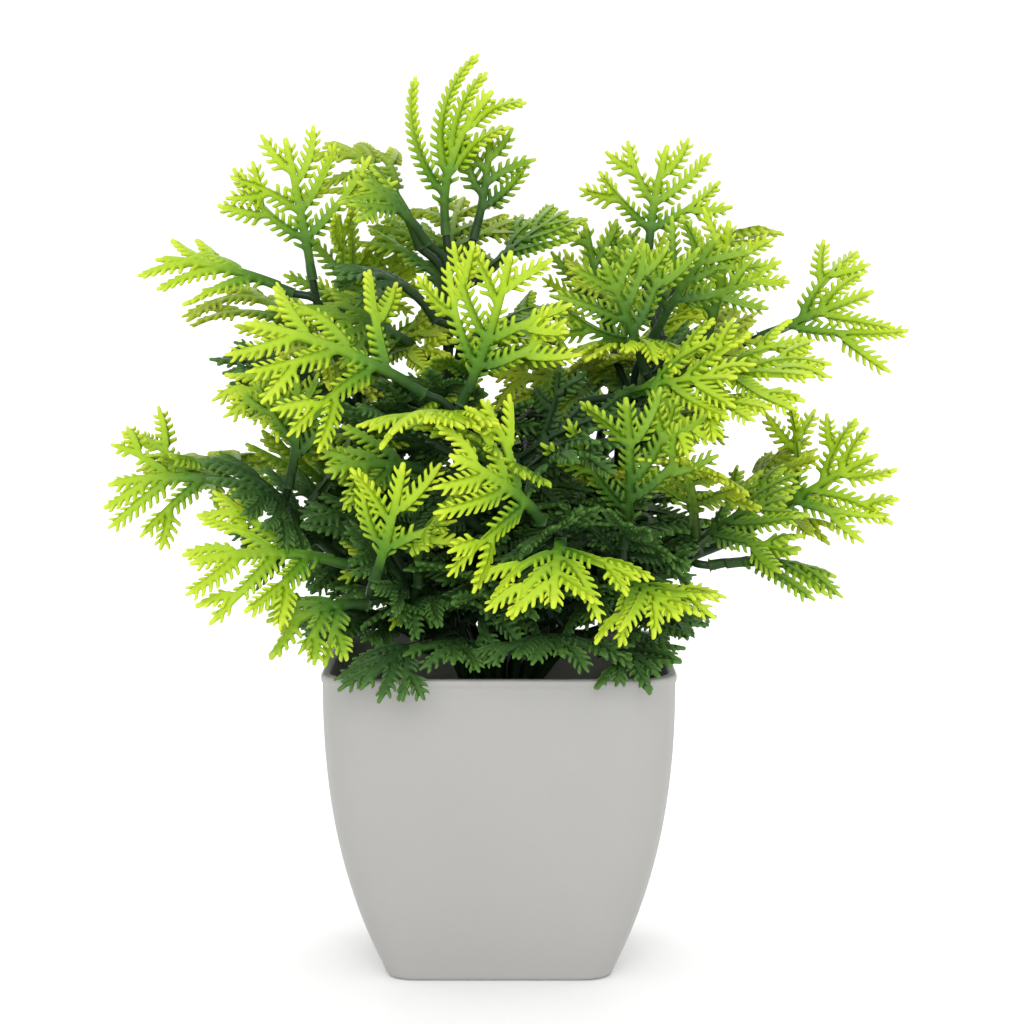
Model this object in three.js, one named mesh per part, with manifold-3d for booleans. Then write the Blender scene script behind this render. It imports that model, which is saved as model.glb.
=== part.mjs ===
// Small artificial cypress in a square tapered pot. Millimetres, +Z up, the front faces -Y.
// The origin is the centre of the pot's flat underside.
//
// The pot is one thin moulded shell. A cast filler block fills it, and the foot of the bush, the crown,
// is planted in the block. Nine bendable stems rise from the crown, and flat moulded fronds are pushed
// onto the ends of their twigs. Each stem leans about its own foot, and its fronds go with it.

import * as THREE from 'three';
import { mergeVertices } from 'three/addons/utils/BufferGeometryUtils.js';
import Module from 'manifold-3d';

const wasm = await Module();
wasm.setup();

// ---- driving dimensions ----

const POT_HEIGHT = 69;
const RIM_HALF_WIDTH = 38.4;
const WALL_TOP_HALF_WIDTH = 38.1;
const BASE_HALF_WIDTH = 24.6;
const SIDE_CURVE = 2.3;           // how strongly the sides belly out, from the base up
const CORNER_SHARE = 0.25;        // corner radius as a share of the half width
const RIM_HEIGHT = 1.8;
const WALL = 1.6;
const FLOOR = 2;
const FOOT_EDGE = 1;              // height of the rounded bottom edge

const GAP = 0.3;                  // kept between pieces that touch

const FILLER_TOP = 53;
const CROWN_BOTTOM = 26;
const CROWN_TOP = 60;
const CROWN_SHANK_RADIUS = 5;
const CROWN_HEAD_RADIUS = 8.5;
const CROWN_HEAD_HEIGHT = 5;

const STEM_RING_RADIUS = 6.6;
const STEM_FOOT = CROWN_TOP + 0.7;
const STEM_RADIUS = 1.4;
const STEM_RISE = 5;              // how far a stem goes straight up before it leans
const TWIG_RADIUS = 0.9;

const FROND_THICKNESS = 1;
const FINGER_WIDTH = 3;
const RIB_HALF_WIDTH = 1;

const COLOURS = {
  pot: 0xbebdb9,
  filler: 0x6d6354,
  stem: 0x2b4a2a,
  dark: 0x2f5a30,
  mid: 0x4f9a1e,
  bright: 0xa8cc14,
  olive: 0x7fae10,
};

// Side fingers of each frond shape: where they leave the rib, how far they reach (both as shares of the
// frond's length) and the angle they leave at.
const SHAPES = {
  fan: { at: [0.1, 0.33, 0.56], reach: [0.5, 0.48, 0.34], angle: [50, 44, 38] },
  spray: { at: [0.16, 0.4, 0.62], reach: [0.34, 0.34, 0.24], angle: [42, 38, 34] },
  open: { at: [0.14, 0.42], reach: [0.6, 0.42], angle: [34, 28] },
};

// ---- the bush: each stem's route, and the fronds on it ----
// A stem's route runs from its foot on the crown through the points given.
// A frond has: at, the share of the stem's route where its twig leaves; root and tip, the two ends of its
// rib; faces, the way its upper side looks; arch, how high its rib bows, as a share of its length.

const STEMS = [
  {
    name: 'top', side: null,
    route: [[-5, 2, 95], [-11, 4, 128], [-12, 5, 156]],
    fronds: [
      {
        at: 1, root: [-12, 5, 163], tip: [-15, 4, 197],
        faces: [0, -1, 0], arch: 0, shape: 'open', look: 'bright',
      },
      {
        at: 0.9, root: [-16, 1, 161], tip: [-31, -5, 175],
        faces: [-0.4, -0.5, 1], arch: 0.06, shape: 'spray', look: 'mid',
      },
      {
        at: 0.86, root: [-18, 14, 160], tip: [-43, 24, 183],
        faces: [-0.6, 0, 1], arch: 0.2, shape: 'spray', look: 'olive',
      },
      {
        at: 0.94, root: [-6, 8, 162], tip: [0, 9, 185],
        faces: [0, -1, 0.1], arch: 0, shape: 'spray', look: 'mid',
      },
      {
        at: 0.8, root: [-5, 11, 153], tip: [16, 14, 168],
        faces: [0, -0.5, 1], arch: 0.05, shape: 'spray', look: 'mid',
      },
      {
        at: 0.72, root: [-14, -3, 144], tip: [-36, -7, 155],
        faces: [-0.3, -0.3, 1], arch: 0.15, shape: 'spray', look: 'dark',
      },
      {
        at: 0.76, root: [-12, 13, 152], tip: [-11, 36, 172],
        faces: [0, 0, 1], arch: 0.1, shape: 'fan', look: 'olive',
      },
    ],
  },
  {
    name: 'upper_left', side: 160,
    route: [[-18, 6, 90], [-34, 8, 122], [-41, 7, 146]],
    fronds: [
      {
        at: 1, root: [-42, 4, 153], tip: [-47, 2, 184],
        faces: [0, -1, 0.2], arch: 0, shape: 'fan', look: 'bright',
      },
      {
        at: 0.92, root: [-46, 0, 150], tip: [-76, -2, 158],
        faces: [0, -0.5, 1], arch: 0.05, shape: 'spray', look: 'bright',
      },
      {
        at: 0.66, root: [-39, 2, 128], tip: [-62, 3, 136],
        faces: [0, -0.3, 1], arch: 0.06, shape: 'spray', look: 'dark',
      },
      {
        at: 0.8, root: [-37, 18, 138], tip: [-36, 20, 163],
        faces: [0.3, -1, 0], arch: 0, shape: 'spray', look: 'mid',
      },
      {
        at: 0.78, root: [-44, 16, 136], tip: [-64, 36, 152],
        faces: [-0.2, 0.2, 1], arch: 0.1, shape: 'fan', look: 'olive',
      },
    ],
  },
  {
    name: 'left', side: 195,
    route: [[-25, -6, 82], [-43, -10, 98], [-54, -10, 105]],
    fronds: [
      {
        at: 1, root: [-58, -10, 108], tip: [-86, -8, 110],
        faces: [0, -0.8, 0.5], arch: 0.06, shape: 'fan', look: 'bright',
      },
      {
        at: 0.78, root: [-46, -17, 108], tip: [-41, -22, 132],
        faces: [0, -1, 0.1], arch: 0, shape: 'spray', look: 'mid',
      },
      {
        at: 0.84, root: [-54, 0, 106], tip: [-76, 16, 112],
        faces: [-0.2, 0, 1], arch: 0.1, shape: 'fan', look: 'olive',
      },
    ],
  },
  {
    name: 'front_left', side: 230,
    route: [[-13, -18, 78], [-23, -29, 88]],
    fronds: [
      {
        at: 1, root: [-26, -40, 91], tip: [-18, -52, 115],
        faces: [0.1, -1, 0.3], arch: 0.08, shape: 'spray', look: 'bright',
      },
      {
        at: 0.94, root: [-32, -34, 93], tip: [-64, -46, 97],
        faces: [-0.2, -0.7, 0.7], arch: 0.06, shape: 'fan', look: 'bright',
      },
      {
        at: 0.86, root: [-28, -37, 85], tip: [-44, -50, 81],
        faces: [-0.1, -0.6, 0.8], arch: 0.1, shape: 'fan', look: 'mid',
      },
    ],
  },
  {
    name: 'front', side: 265,
    route: [[3, -17, 84], [0, -24, 106], [-7, -27, 120]],
    fronds: [
      {
        at: 1, root: [-8, -30, 127], tip: [6, -38, 157],
        faces: [0, -1, 0.2], arch: 0.04, shape: 'fan', look: 'bright',
      },
      {
        at: 0.94, root: [-16, -28, 129], tip: [-52, -34, 146],
        faces: [0, -0.8, 0.6], arch: 0.06, shape: 'fan', look: 'bright',
      },
      {
        at: 0.9, root: [-11, -34, 121], tip: [-15, -57, 125],
        faces: [0, 0, 1], arch: 0.12, shape: 'fan', look: 'bright',
      },
      {
        at: 0.6, root: [9, -40, 103], tip: [-9, -58, 119],
        faces: [0.1, -0.9, 0.5], arch: 0.06, shape: 'fan', look: 'bright',
      },
      {
        at: 0.54, root: [13, -38, 98], tip: [11, -64, 88],
        faces: [0, -0.6, 0.8], arch: 0.12, shape: 'fan', look: 'bright',
      },
    ],
  },
  {
    name: 'right', side: 330,
    route: [[20, -11, 80], [37, -13, 90], [53, -8, 96]],
    fronds: [
      {
        at: 1, root: [58, -6, 99], tip: [83, -6, 115],
        faces: [0, -0.8, 0.5], arch: 0.04, shape: 'fan', look: 'bright',
      },
      {
        at: 0.8, root: [46, -18, 91], tip: [73, -22, 88],
        faces: [0, -0.4, 1], arch: 0.1, shape: 'spray', look: 'mid',
      },
      {
        at: 0.5, root: [26, -36, 89], tip: [36, -54, 84],
        faces: [0, -0.5, 0.9], arch: 0.12, shape: 'fan', look: 'bright',
      },
      {
        at: 0.56, root: [27, -26, 96], tip: [30, -38, 128],
        faces: [0, -1, 0.2], arch: 0.04, shape: 'fan', look: 'mid',
      },
      {
        at: 0.84, root: [50, 2, 97], tip: [73, 18, 104],
        faces: [0.2, 0, 1], arch: 0.1, shape: 'fan', look: 'olive',
      },
    ],
  },
  {
    name: 'upper_right', side: 15,
    route: [[18, 5, 92], [31, 8, 120], [38, 12, 140]],
    fronds: [
      {
        at: 1, root: [34, 18, 157], tip: [36, 22, 184],
        faces: [0, -1, 0.1], arch: 0, shape: 'fan', look: 'bright',
      },
      {
        at: 0.96, root: [43, 24, 152], tip: [62, 30, 165],
        faces: [0, 0, 1], arch: 0.14, shape: 'spray', look: 'olive',
      },
      {
        at: 0.84, root: [46, 5, 138], tip: [54, 3, 165],
        faces: [0.1, -1, 0], arch: 0, shape: 'spray', look: 'bright',
      },
      {
        at: 0.88, root: [59, 9, 140], tip: [84, 6, 150],
        faces: [0, -0.9, 0.4], arch: 0.04, shape: 'open', look: 'bright',
      },
      {
        at: 0.64, root: [38, -18, 130], tip: [66, -32, 134],
        faces: [0, -0.6, 0.8], arch: 0.06, shape: 'fan', look: 'bright',
      },
      {
        at: 0.7, root: [32, -13, 133], tip: [23, -21, 158],
        faces: [0, -1, 0.2], arch: 0.04, shape: 'fan', look: 'mid',
      },
      {
        at: 0.78, root: [25, 21, 142], tip: [19, 25, 166],
        faces: [0, -1, 0], arch: 0, shape: 'spray', look: 'mid',
      },
    ],
  },
  {
    name: 'back_right', side: 60,
    route: [[13, 21, 86], [22, 34, 108], [26, 41, 124]],
    fronds: [
      {
        at: 1, root: [28, 43, 131], tip: [35, 50, 162],
        faces: [0.2, 1, 0.2], arch: 0, shape: 'fan', look: 'bright',
      },
      {
        at: 0.9, root: [20, 46, 122], tip: [8, 68, 134],
        faces: [0, 0.4, 1], arch: 0.08, shape: 'fan', look: 'olive',
      },
      {
        at: 0.8, root: [34, 42, 116], tip: [60, 54, 124],
        faces: [0.3, 0.4, 1], arch: 0.08, shape: 'fan', look: 'bright',
      },
      {
        at: 0.56, root: [22, 42, 98], tip: [28, 68, 98],
        faces: [0.1, 0.5, 1], arch: 0.12, shape: 'fan', look: 'mid',
      },
      {
        at: 0.5, root: [32, 28, 92], tip: [58, 40, 92],
        faces: [0.3, 0.2, 1], arch: 0.12, shape: 'fan', look: 'mid',
      },
    ],
  },
  {
    name: 'back_left', side: 118,
    route: [[-13, 21, 84], [-22, 34, 104], [-27, 40, 120]],
    fronds: [
      {
        at: 1, root: [-28, 42, 127], tip: [-30, 52, 158],
        faces: [-0.1, 1, 0.2], arch: 0, shape: 'fan', look: 'bright',
      },
      {
        at: 0.84, root: [-36, 40, 112], tip: [-62, 50, 122],
        faces: [-0.3, 0.4, 1], arch: 0.08, shape: 'fan', look: 'bright',
      },
      {
        at: 0.76, root: [-18, 46, 110], tip: [-12, 72, 114],
        faces: [0, 0.4, 1], arch: 0.1, shape: 'fan', look: 'olive',
      },
      {
        at: 0.56, root: [-24, 40, 92], tip: [-34, 64, 90],
        faces: [-0.1, 0.5, 1], arch: 0.12, shape: 'fan', look: 'mid',
      },
      {
        at: 0.5, root: [-34, 26, 90], tip: [-60, 34, 92],
        faces: [-0.3, 0.2, 1], arch: 0.12, shape: 'fan', look: 'mid',
      },
    ],
  },
];

// Low fronds pushed onto short twigs of the crown itself. Some hang out over the pot's rim.
const SKIRT_FRONDS = [
  {
    root: [-15, -27, 74], tip: [-27, -48, 68],
    faces: [0, -0.5, 0.9], arch: 0.14, shape: 'spray', look: 'dark',
  },
  {
    root: [11, -26, 75], tip: [12, -50, 76],
    faces: [0, -0.5, 0.9], arch: 0.1, shape: 'fan', look: 'dark',
  },
  {
    root: [22, -24, 73], tip: [34, -42, 71],
    faces: [0, -0.5, 0.9], arch: 0.1, shape: 'spray', look: 'dark',
  },
];

// ---- solids ----

function solidOf(geometry) {
  const bare = geometry.clone();
  bare.deleteAttribute('normal');
  bare.deleteAttribute('uv');
  const merged = mergeVertices(bare, 1e-4);
  return new wasm.Manifold(new wasm.Mesh({
    numProp: 3,
    vertProperties: new Float32Array(merged.attributes.position.array),
    triVerts: new Uint32Array(merged.index.array),
  }));
}

function geometryOf(solid) {
  const mesh = solid.getMesh();
  const geometry = new THREE.BufferGeometry();
  geometry.setAttribute('position', new THREE.BufferAttribute(mesh.vertProperties, 3));
  geometry.setIndex(new THREE.BufferAttribute(mesh.triVerts, 1));
  geometry.computeVertexNormals();
  return geometry;
}

function meshOf(name, geometry, colour, roughness = 0.55) {
  const material = new THREE.MeshStandardMaterial({ color: colour, roughness, metalness: 0 });
  const mesh = new THREE.Mesh(geometry, material);
  mesh.name = name;
  return mesh;
}

// ---- pot and filler ----

function halfWidthAt(z) {
  const rise = THREE.MathUtils.clamp(z / (POT_HEIGHT - RIM_HEIGHT), 0, 1);
  return BASE_HALF_WIDTH + (WALL_TOP_HALF_WIDTH - BASE_HALF_WIDTH) * (1 - (1 - rise) ** SIDE_CURVE);
}

function roundedSquare() {
  const shape = new THREE.Shape();
  const flat = 1 - CORNER_SHARE;
  shape.absarc(flat, flat, CORNER_SHARE, 0, Math.PI / 2);
  shape.absarc(-flat, flat, CORNER_SHARE, Math.PI / 2, Math.PI);
  shape.absarc(-flat, -flat, CORNER_SHARE, Math.PI, Math.PI * 1.5);
  shape.absarc(flat, -flat, CORNER_SHARE, Math.PI * 1.5, Math.PI * 2);
  return shape;
}

// A stack of rounded squares, each layer {z, half}.
function squareLoft(layers) {
  const steps = layers.length - 1;
  const geometry = new THREE.ExtrudeGeometry(roundedSquare(), {
    depth: steps, steps, bevelEnabled: false, curveSegments: 4,
  });
  const place = geometry.attributes.position;
  for (let i = 0; i < place.count; i += 1) {
    const layer = layers[Math.round(place.getZ(i))];
    place.setXYZ(i, place.getX(i) * layer.half, place.getY(i) * layer.half, layer.z);
  }
  return geometry;
}

function sideLayers(low, high, count, inset) {
  return Array.from({ length: count + 1 }, (_, i) => {
    const z = low + ((high - low) * i) / count;
    return { z, half: halfWidthAt(z) - inset };
  });
}

function pot() {
  const rimLow = POT_HEIGHT - RIM_HEIGHT;
  const outside = squareLoft([
    { z: 0, half: BASE_HALF_WIDTH - FOOT_EDGE / 2 },
    ...sideLayers(FOOT_EDGE, rimLow, 7, 0),
    { z: rimLow + 0.05, half: RIM_HALF_WIDTH },
    { z: POT_HEIGHT, half: RIM_HALF_WIDTH },
  ]);
  const inside = squareLoft([
    ...sideLayers(FLOOR, rimLow, 5, WALL),
    { z: POT_HEIGHT + 1, half: WALL_TOP_HALF_WIDTH - WALL },
  ]);
  return meshOf('pot', geometryOf(solidOf(outside).subtract(solidOf(inside))), COLOURS.pot, 0.45);
}

function crownProfile() {
  return [
    new THREE.Vector2(0, CROWN_BOTTOM),
    new THREE.Vector2(CROWN_SHANK_RADIUS - 1, CROWN_BOTTOM),
    new THREE.Vector2(CROWN_SHANK_RADIUS, CROWN_BOTTOM + 4),
    new THREE.Vector2(CROWN_SHANK_RADIUS, CROWN_TOP - CROWN_HEAD_HEIGHT),
    new THREE.Vector2(CROWN_HEAD_RADIUS, CROWN_TOP - 2),
    new THREE.Vector2(CROWN_HEAD_RADIUS, CROWN_TOP),
    new THREE.Vector2(0, CROWN_TOP),
  ];
}

function turned(profile, sides) {
  const geometry = new THREE.LatheGeometry(profile, sides);
  geometry.rotateX(Math.PI / 2);
  return geometry;
}

function filler() {
  const block = squareLoft(sideLayers(FLOOR + GAP, FILLER_TOP, 6, WALL + GAP));
  const socket = turned([
    new THREE.Vector2(0, CROWN_BOTTOM - GAP),
    new THREE.Vector2(CROWN_SHANK_RADIUS + GAP, CROWN_BOTTOM - GAP),
    new THREE.Vector2(CROWN_SHANK_RADIUS + GAP, FILLER_TOP + 1),
    new THREE.Vector2(0, FILLER_TOP + 1),
  ], 20);
  return meshOf('filler_block', geometryOf(solidOf(block).subtract(solidOf(socket))), COLOURS.filler, 0.95);
}

// ---- stems and twigs ----

function vector([x, y, z]) {
  return new THREE.Vector3(x, y, z);
}

function rod(points, radius, sides, steps) {
  const section = new THREE.Shape();
  for (let i = 0; i < sides; i += 1) {
    const turn = (2 * Math.PI * i) / sides;
    const corner = new THREE.Vector2(radius * Math.cos(turn), radius * Math.sin(turn));
    if (i === 0) section.moveTo(corner.x, corner.y);
    else section.lineTo(corner.x, corner.y);
  }
  return new THREE.ExtrudeGeometry(section, {
    steps, bevelEnabled: false, extrudePath: new THREE.CatmullRomCurve3(points),
  });
}

function ribDirection(frond) {
  return vector(frond.tip).sub(vector(frond.root)).normalize();
}

// From a point inside the stem or crown to just short of the frond's root, arriving along its rib.
function twig(start, frond) {
  const direction = ribDirection(frond);
  const end = vector(frond.root).addScaledVector(direction, -GAP);
  const reach = start.distanceTo(end);
  const nearEnd = end.clone().addScaledVector(direction, -reach / 3);
  return solidOf(rod([start, nearEnd, end], TWIG_RADIUS, 5, 3));
}

function footOf(stem) {
  if (stem.side === null) return new THREE.Vector3(0, 0, STEM_FOOT);
  const turn = THREE.MathUtils.degToRad(stem.side);
  return new THREE.Vector3(STEM_RING_RADIUS * Math.cos(turn), STEM_RING_RADIUS * Math.sin(turn), STEM_FOOT);
}

function stemMesh(stem) {
  const foot = footOf(stem);
  const points = [foot, foot.clone().setZ(STEM_FOOT + STEM_RISE), ...stem.route.map(vector)];
  const curve = new THREE.CatmullRomCurve3(points);
  let solid = solidOf(rod(points, STEM_RADIUS, 7, 7));
  for (const frond of stem.fronds) {
    const share = Math.min(frond.at, 0.97);
    solid = solid.add(twig(curve.getPointAt(share), frond));
  }
  return meshOf(`stem_${stem.name}`, geometryOf(solid), COLOURS.stem);
}

function crown() {
  let solid = solidOf(turned(crownProfile(), 20));
  for (const frond of SKIRT_FRONDS) {
    const outward = new THREE.Vector3(frond.root[0], frond.root[1], 0).normalize();
    const start = outward.multiplyScalar(CROWN_HEAD_RADIUS - 2).setZ(CROWN_TOP - 2);
    solid = solid.add(twig(start, frond));
  }
  return meshOf('crown', geometryOf(solid), COLOURS.stem);
}

// ---- fronds ----

// Outline of a frond lying in the XY plane, its rib along +Y from the origin.
function frondOutline(length, shape) {
  const { at, reach, angle } = SHAPES[shape];
  const right = [[RIB_HALF_WIDTH, 0]];
  at.forEach((share, i) => {
    const turn = THREE.MathUtils.degToRad(angle[i]);
    const start = share * length;
    const end = [
      RIB_HALF_WIDTH + reach[i] * length * Math.sin(turn),
      start + reach[i] * length * Math.cos(turn),
    ];
    const tipWidth = FINGER_WIDTH / 2;
    right.push([RIB_HALF_WIDTH, start]);
    right.push(end);
    right.push([end[0] - tipWidth * Math.cos(turn), end[1] + tipWidth * Math.sin(turn)]);
    right.push([RIB_HALF_WIDTH, start + FINGER_WIDTH / Math.sin(turn)]);
  });
  const left = right.map(([x, y]) => [-x, y]).reverse();
  const points = [...right, [RIB_HALF_WIDTH * 0.8, length], [-RIB_HALF_WIDTH * 0.8, length], ...left];
  return new THREE.Shape(points.map(([x, y]) => new THREE.Vector2(x, y)));
}

function frondMesh(name, frond) {
  const span = vector(frond.tip).sub(vector(frond.root));
  const length = span.length();
  const geometry = new THREE.ExtrudeGeometry(frondOutline(length, frond.shape), {
    depth: FROND_THICKNESS, bevelEnabled: false,
  });
  const place = geometry.attributes.position;
  for (let i = 0; i < place.count; i += 1) {
    const along = place.getY(i) / length;
    const bow = 4 * frond.arch * length * along * (1 - along);
    const sideDrop = (frond.arch * place.getX(i) ** 2) / (length / 2);
    place.setZ(i, place.getZ(i) - FROND_THICKNESS / 2 + bow - sideDrop);
  }
  const rib = span.normalize();
  const side = rib.clone().cross(vector(frond.faces)).normalize();
  const up = side.clone().cross(rib);
  const frame = new THREE.Matrix4().makeBasis(side, rib, up).setPosition(vector(frond.root));
  const mesh = meshOf(name, geometry, COLOURS[frond.look]);
  mesh.applyMatrix4(frame);
  return mesh;
}

// ---- the whole object ----

const tree = new THREE.Group();
tree.add(pot());
tree.add(filler());
tree.add(crown());
SKIRT_FRONDS.forEach((frond, i) => tree.add(frondMesh(`skirt_frond_${i + 1}`, frond)));
for (const stem of STEMS) {
  const branch = new THREE.Group();
  branch.add(stemMesh(stem));
  stem.fronds.forEach((frond, i) => branch.add(frondMesh(`${stem.name}_frond_${i + 1}`, frond)));
  tree.add(branch);
}

export default tree;
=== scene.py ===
"""Small artificial cypress in a square tapered pot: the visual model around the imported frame.

Lengths are millimetres, in the frame's own axes: +Z up, the front faces -Y. They become metres when a
mesh is made. Only the floor, the camera and the material settings are given in metres.
"""

import math
import random

import bpy
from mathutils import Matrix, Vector, noise


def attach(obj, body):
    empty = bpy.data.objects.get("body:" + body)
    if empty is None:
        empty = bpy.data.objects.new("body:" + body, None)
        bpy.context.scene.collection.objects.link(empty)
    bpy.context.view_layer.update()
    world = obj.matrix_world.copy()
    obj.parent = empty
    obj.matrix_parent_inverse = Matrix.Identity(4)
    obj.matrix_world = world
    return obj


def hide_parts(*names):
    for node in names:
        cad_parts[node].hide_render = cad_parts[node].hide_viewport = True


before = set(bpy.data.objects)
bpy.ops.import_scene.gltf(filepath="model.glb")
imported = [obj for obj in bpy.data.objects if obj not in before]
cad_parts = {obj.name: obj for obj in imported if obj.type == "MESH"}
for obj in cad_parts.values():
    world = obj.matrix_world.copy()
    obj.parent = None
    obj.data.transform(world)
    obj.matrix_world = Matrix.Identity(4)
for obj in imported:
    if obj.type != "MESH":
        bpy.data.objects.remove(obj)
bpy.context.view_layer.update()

MM = 0.001

# ---- sizes shared with the CAD source ----

POT_HEIGHT = 69
RIM_HALF_WIDTH = 38.4
WALL_TOP_HALF_WIDTH = 38.1
BASE_HALF_WIDTH = 24.6
SIDE_CURVE = 2.3
CORNER_SHARE = 0.25
RIM_HEIGHT = 1.8
WALL = 1.6
FLOOR = 2

GAP = 0.3

FILLER_TOP = 53
CROWN_BOTTOM = 26
CROWN_TOP = 60
CROWN_SHANK_RADIUS = 5
CROWN_HEAD_RADIUS = 8.5

STEM_RING_RADIUS = 6.6
STEM_FOOT = CROWN_TOP + 0.7
STEM_RISE = 5
STEM_RADIUS = 1.4
TWIG_RADIUS = 0.9

ROUTE_STEPS = 60
TWIG_STEPS = 12

# ---- the bush ----
# A stem has the side its foot stands on, in degrees round from +X (None for the middle one), and its route.
# A frond row is: share of the stem's route where its twig leaves, root, tip, the way its upper side faces,
# how high its rib bows as a share of its length, its shape and its colour; the darkest colour is painted
# shade.

STEMS = {
    "top": (None, [(-5, 2, 95), (-11, 4, 128), (-12, 5, 156)]),
    "upper_left": (160, [(-18, 6, 90), (-34, 8, 122), (-41, 7, 146)]),
    "left": (195, [(-25, -6, 82), (-43, -10, 98), (-54, -10, 105)]),
    "front_left": (230, [(-13, -18, 78), (-23, -29, 88)]),
    "front": (265, [(3, -17, 84), (0, -24, 106), (-7, -27, 120)]),
    "right": (330, [(20, -11, 80), (37, -13, 90), (53, -8, 96)]),
    "upper_right": (15, [(18, 5, 92), (31, 8, 120), (38, 12, 140)]),
    "back_right": (60, [(13, 21, 86), (22, 34, 108), (26, 41, 124)]),
    "back_left": (118, [(-13, 21, 84), (-22, 34, 104), (-27, 40, 120)]),
}

FRONDS = {
    "top": [
        (1, (-12, 5, 163), (-15, 4, 197), (0, -1, 0), 0, "plume", "bright"),
        (0.9, (-16, 1, 161), (-31, -5, 175), (-0.4, -0.5, 1), 0.06, "spray", "mid"),
        (0.86, (-18, 14, 160), (-43, 24, 183), (-0.6, 0, 1), 0.2, "spray", "olive"),
        (0.94, (-6, 8, 162), (0, 9, 185), (0, -1, 0.1), 0, "spray", "mid"),
        (0.8, (-5, 11, 153), (16, 14, 168), (0, -0.5, 1), 0.05, "spray", "mid"),
        (0.72, (-14, -3, 144), (-36, -7, 155), (-0.3, -0.3, 1), 0.15, "spray", "dark"),
        (0.76, (-12, 13, 152), (-11, 36, 172), (0, 0, 1), 0.1, "fan", "olive"),
    ],
    "upper_left": [
        (1, (-42, 4, 153), (-47, 2, 184), (0, -1, 0.2), 0, "fan", "bright"),
        (0.92, (-46, 0, 150), (-76, -2, 158), (0, -0.5, 1), 0.05, "spray", "bright"),
        (0.66, (-39, 2, 128), (-62, 3, 136), (0, -0.3, 1), 0.06, "spray", "dark"),
        (0.8, (-37, 18, 138), (-36, 20, 163), (0.3, -1, 0), 0, "spray", "mid"),
        (0.78, (-44, 16, 136), (-64, 36, 152), (-0.2, 0.2, 1), 0.1, "fan", "olive"),
    ],
    "left": [
        (1, (-58, -10, 108), (-86, -8, 110), (0, -0.8, 0.5), 0.06, "fan", "bright"),
        (0.78, (-46, -17, 108), (-41, -22, 132), (0, -1, 0.1), 0, "spray", "mid"),
        (0.84, (-54, 0, 106), (-76, 16, 112), (-0.2, 0, 1), 0.1, "fan", "olive"),
    ],
    "front_left": [
        (1, (-26, -40, 91), (-18, -52, 115), (0.1, -1, 0.3), 0.08, "spray", "bright"),
        (0.94, (-32, -34, 93), (-64, -46, 97), (-0.2, -0.7, 0.7), 0.06, "fan", "bright"),
        (0.86, (-28, -37, 85), (-44, -50, 81), (-0.1, -0.6, 0.8), 0.1, "fan", "mid"),
    ],
    "front": [
        (1, (-8, -30, 127), (6, -38, 157), (0, -1, 0.2), 0.04, "fan", "bright"),
        (0.94, (-16, -28, 129), (-52, -34, 146), (0, -0.8, 0.6), 0.06, "fan", "bright"),
        (0.9, (-11, -34, 121), (-15, -57, 125), (0, 0, 1), 0.12, "fan", "bright"),
        (0.6, (9, -40, 103), (-9, -58, 119), (0.1, -0.9, 0.5), 0.06, "fan", "bright"),
        (0.54, (13, -38, 98), (11, -64, 88), (0, -0.6, 0.8), 0.12, "fan", "bright"),
    ],
    "right": [
        (1, (58, -6, 99), (83, -6, 115), (0, -0.8, 0.5), 0.04, "fan", "bright"),
        (0.8, (46, -18, 91), (73, -22, 88), (0, -0.4, 1), 0.1, "spray", "mid"),
        (0.5, (26, -36, 89), (36, -54, 84), (0, -0.5, 0.9), 0.12, "fan", "bright"),
        (0.56, (27, -26, 96), (30, -38, 128), (0, -1, 0.2), 0.04, "fan", "mid"),
        (0.84, (50, 2, 97), (73, 18, 104), (0.2, 0, 1), 0.1, "fan", "olive"),
    ],
    "upper_right": [
        (1, (34, 18, 157), (36, 22, 184), (0, -1, 0.1), 0, "fan", "bright"),
        (0.96, (43, 24, 152), (62, 30, 165), (0, 0, 1), 0.14, "spray", "olive"),
        (0.84, (46, 5, 138), (54, 3, 165), (0.1, -1, 0), 0, "spray", "bright"),
        (0.88, (59, 9, 140), (84, 6, 150), (0, -0.9, 0.4), 0.04, "open", "bright"),
        (0.64, (38, -18, 130), (66, -32, 134), (0, -0.6, 0.8), 0.06, "fan", "bright"),
        (0.7, (32, -13, 133), (23, -21, 158), (0, -1, 0.2), 0.04, "fan", "mid"),
        (0.78, (25, 21, 142), (19, 25, 166), (0, -1, 0), 0, "spray", "mid"),
    ],
    "back_right": [
        (1, (28, 43, 131), (35, 50, 162), (0.2, 1, 0.2), 0, "fan", "bright"),
        (0.9, (20, 46, 122), (8, 68, 134), (0, 0.4, 1), 0.08, "fan", "olive"),
        (0.8, (34, 42, 116), (60, 54, 124), (0.3, 0.4, 1), 0.08, "fan", "bright"),
        (0.56, (22, 42, 98), (28, 68, 98), (0.1, 0.5, 1), 0.12, "fan", "mid"),
        (0.5, (32, 28, 92), (58, 40, 92), (0.3, 0.2, 1), 0.12, "fan", "mid"),
    ],
    "back_left": [
        (1, (-28, 42, 127), (-30, 52, 158), (-0.1, 1, 0.2), 0, "fan", "bright"),
        (0.84, (-36, 40, 112), (-62, 50, 122), (-0.3, 0.4, 1), 0.08, "fan", "bright"),
        (0.76, (-18, 46, 110), (-12, 72, 114), (0, 0.4, 1), 0.1, "fan", "olive"),
        (0.56, (-24, 40, 92), (-34, 64, 90), (-0.1, 0.5, 1), 0.12, "fan", "mid"),
        (0.5, (-34, 26, 90), (-60, 34, 92), (-0.3, 0.2, 1), 0.12, "fan", "mid"),
    ],
}

# Fronds low on the crown, darkened as painted shade under the bush.
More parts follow.
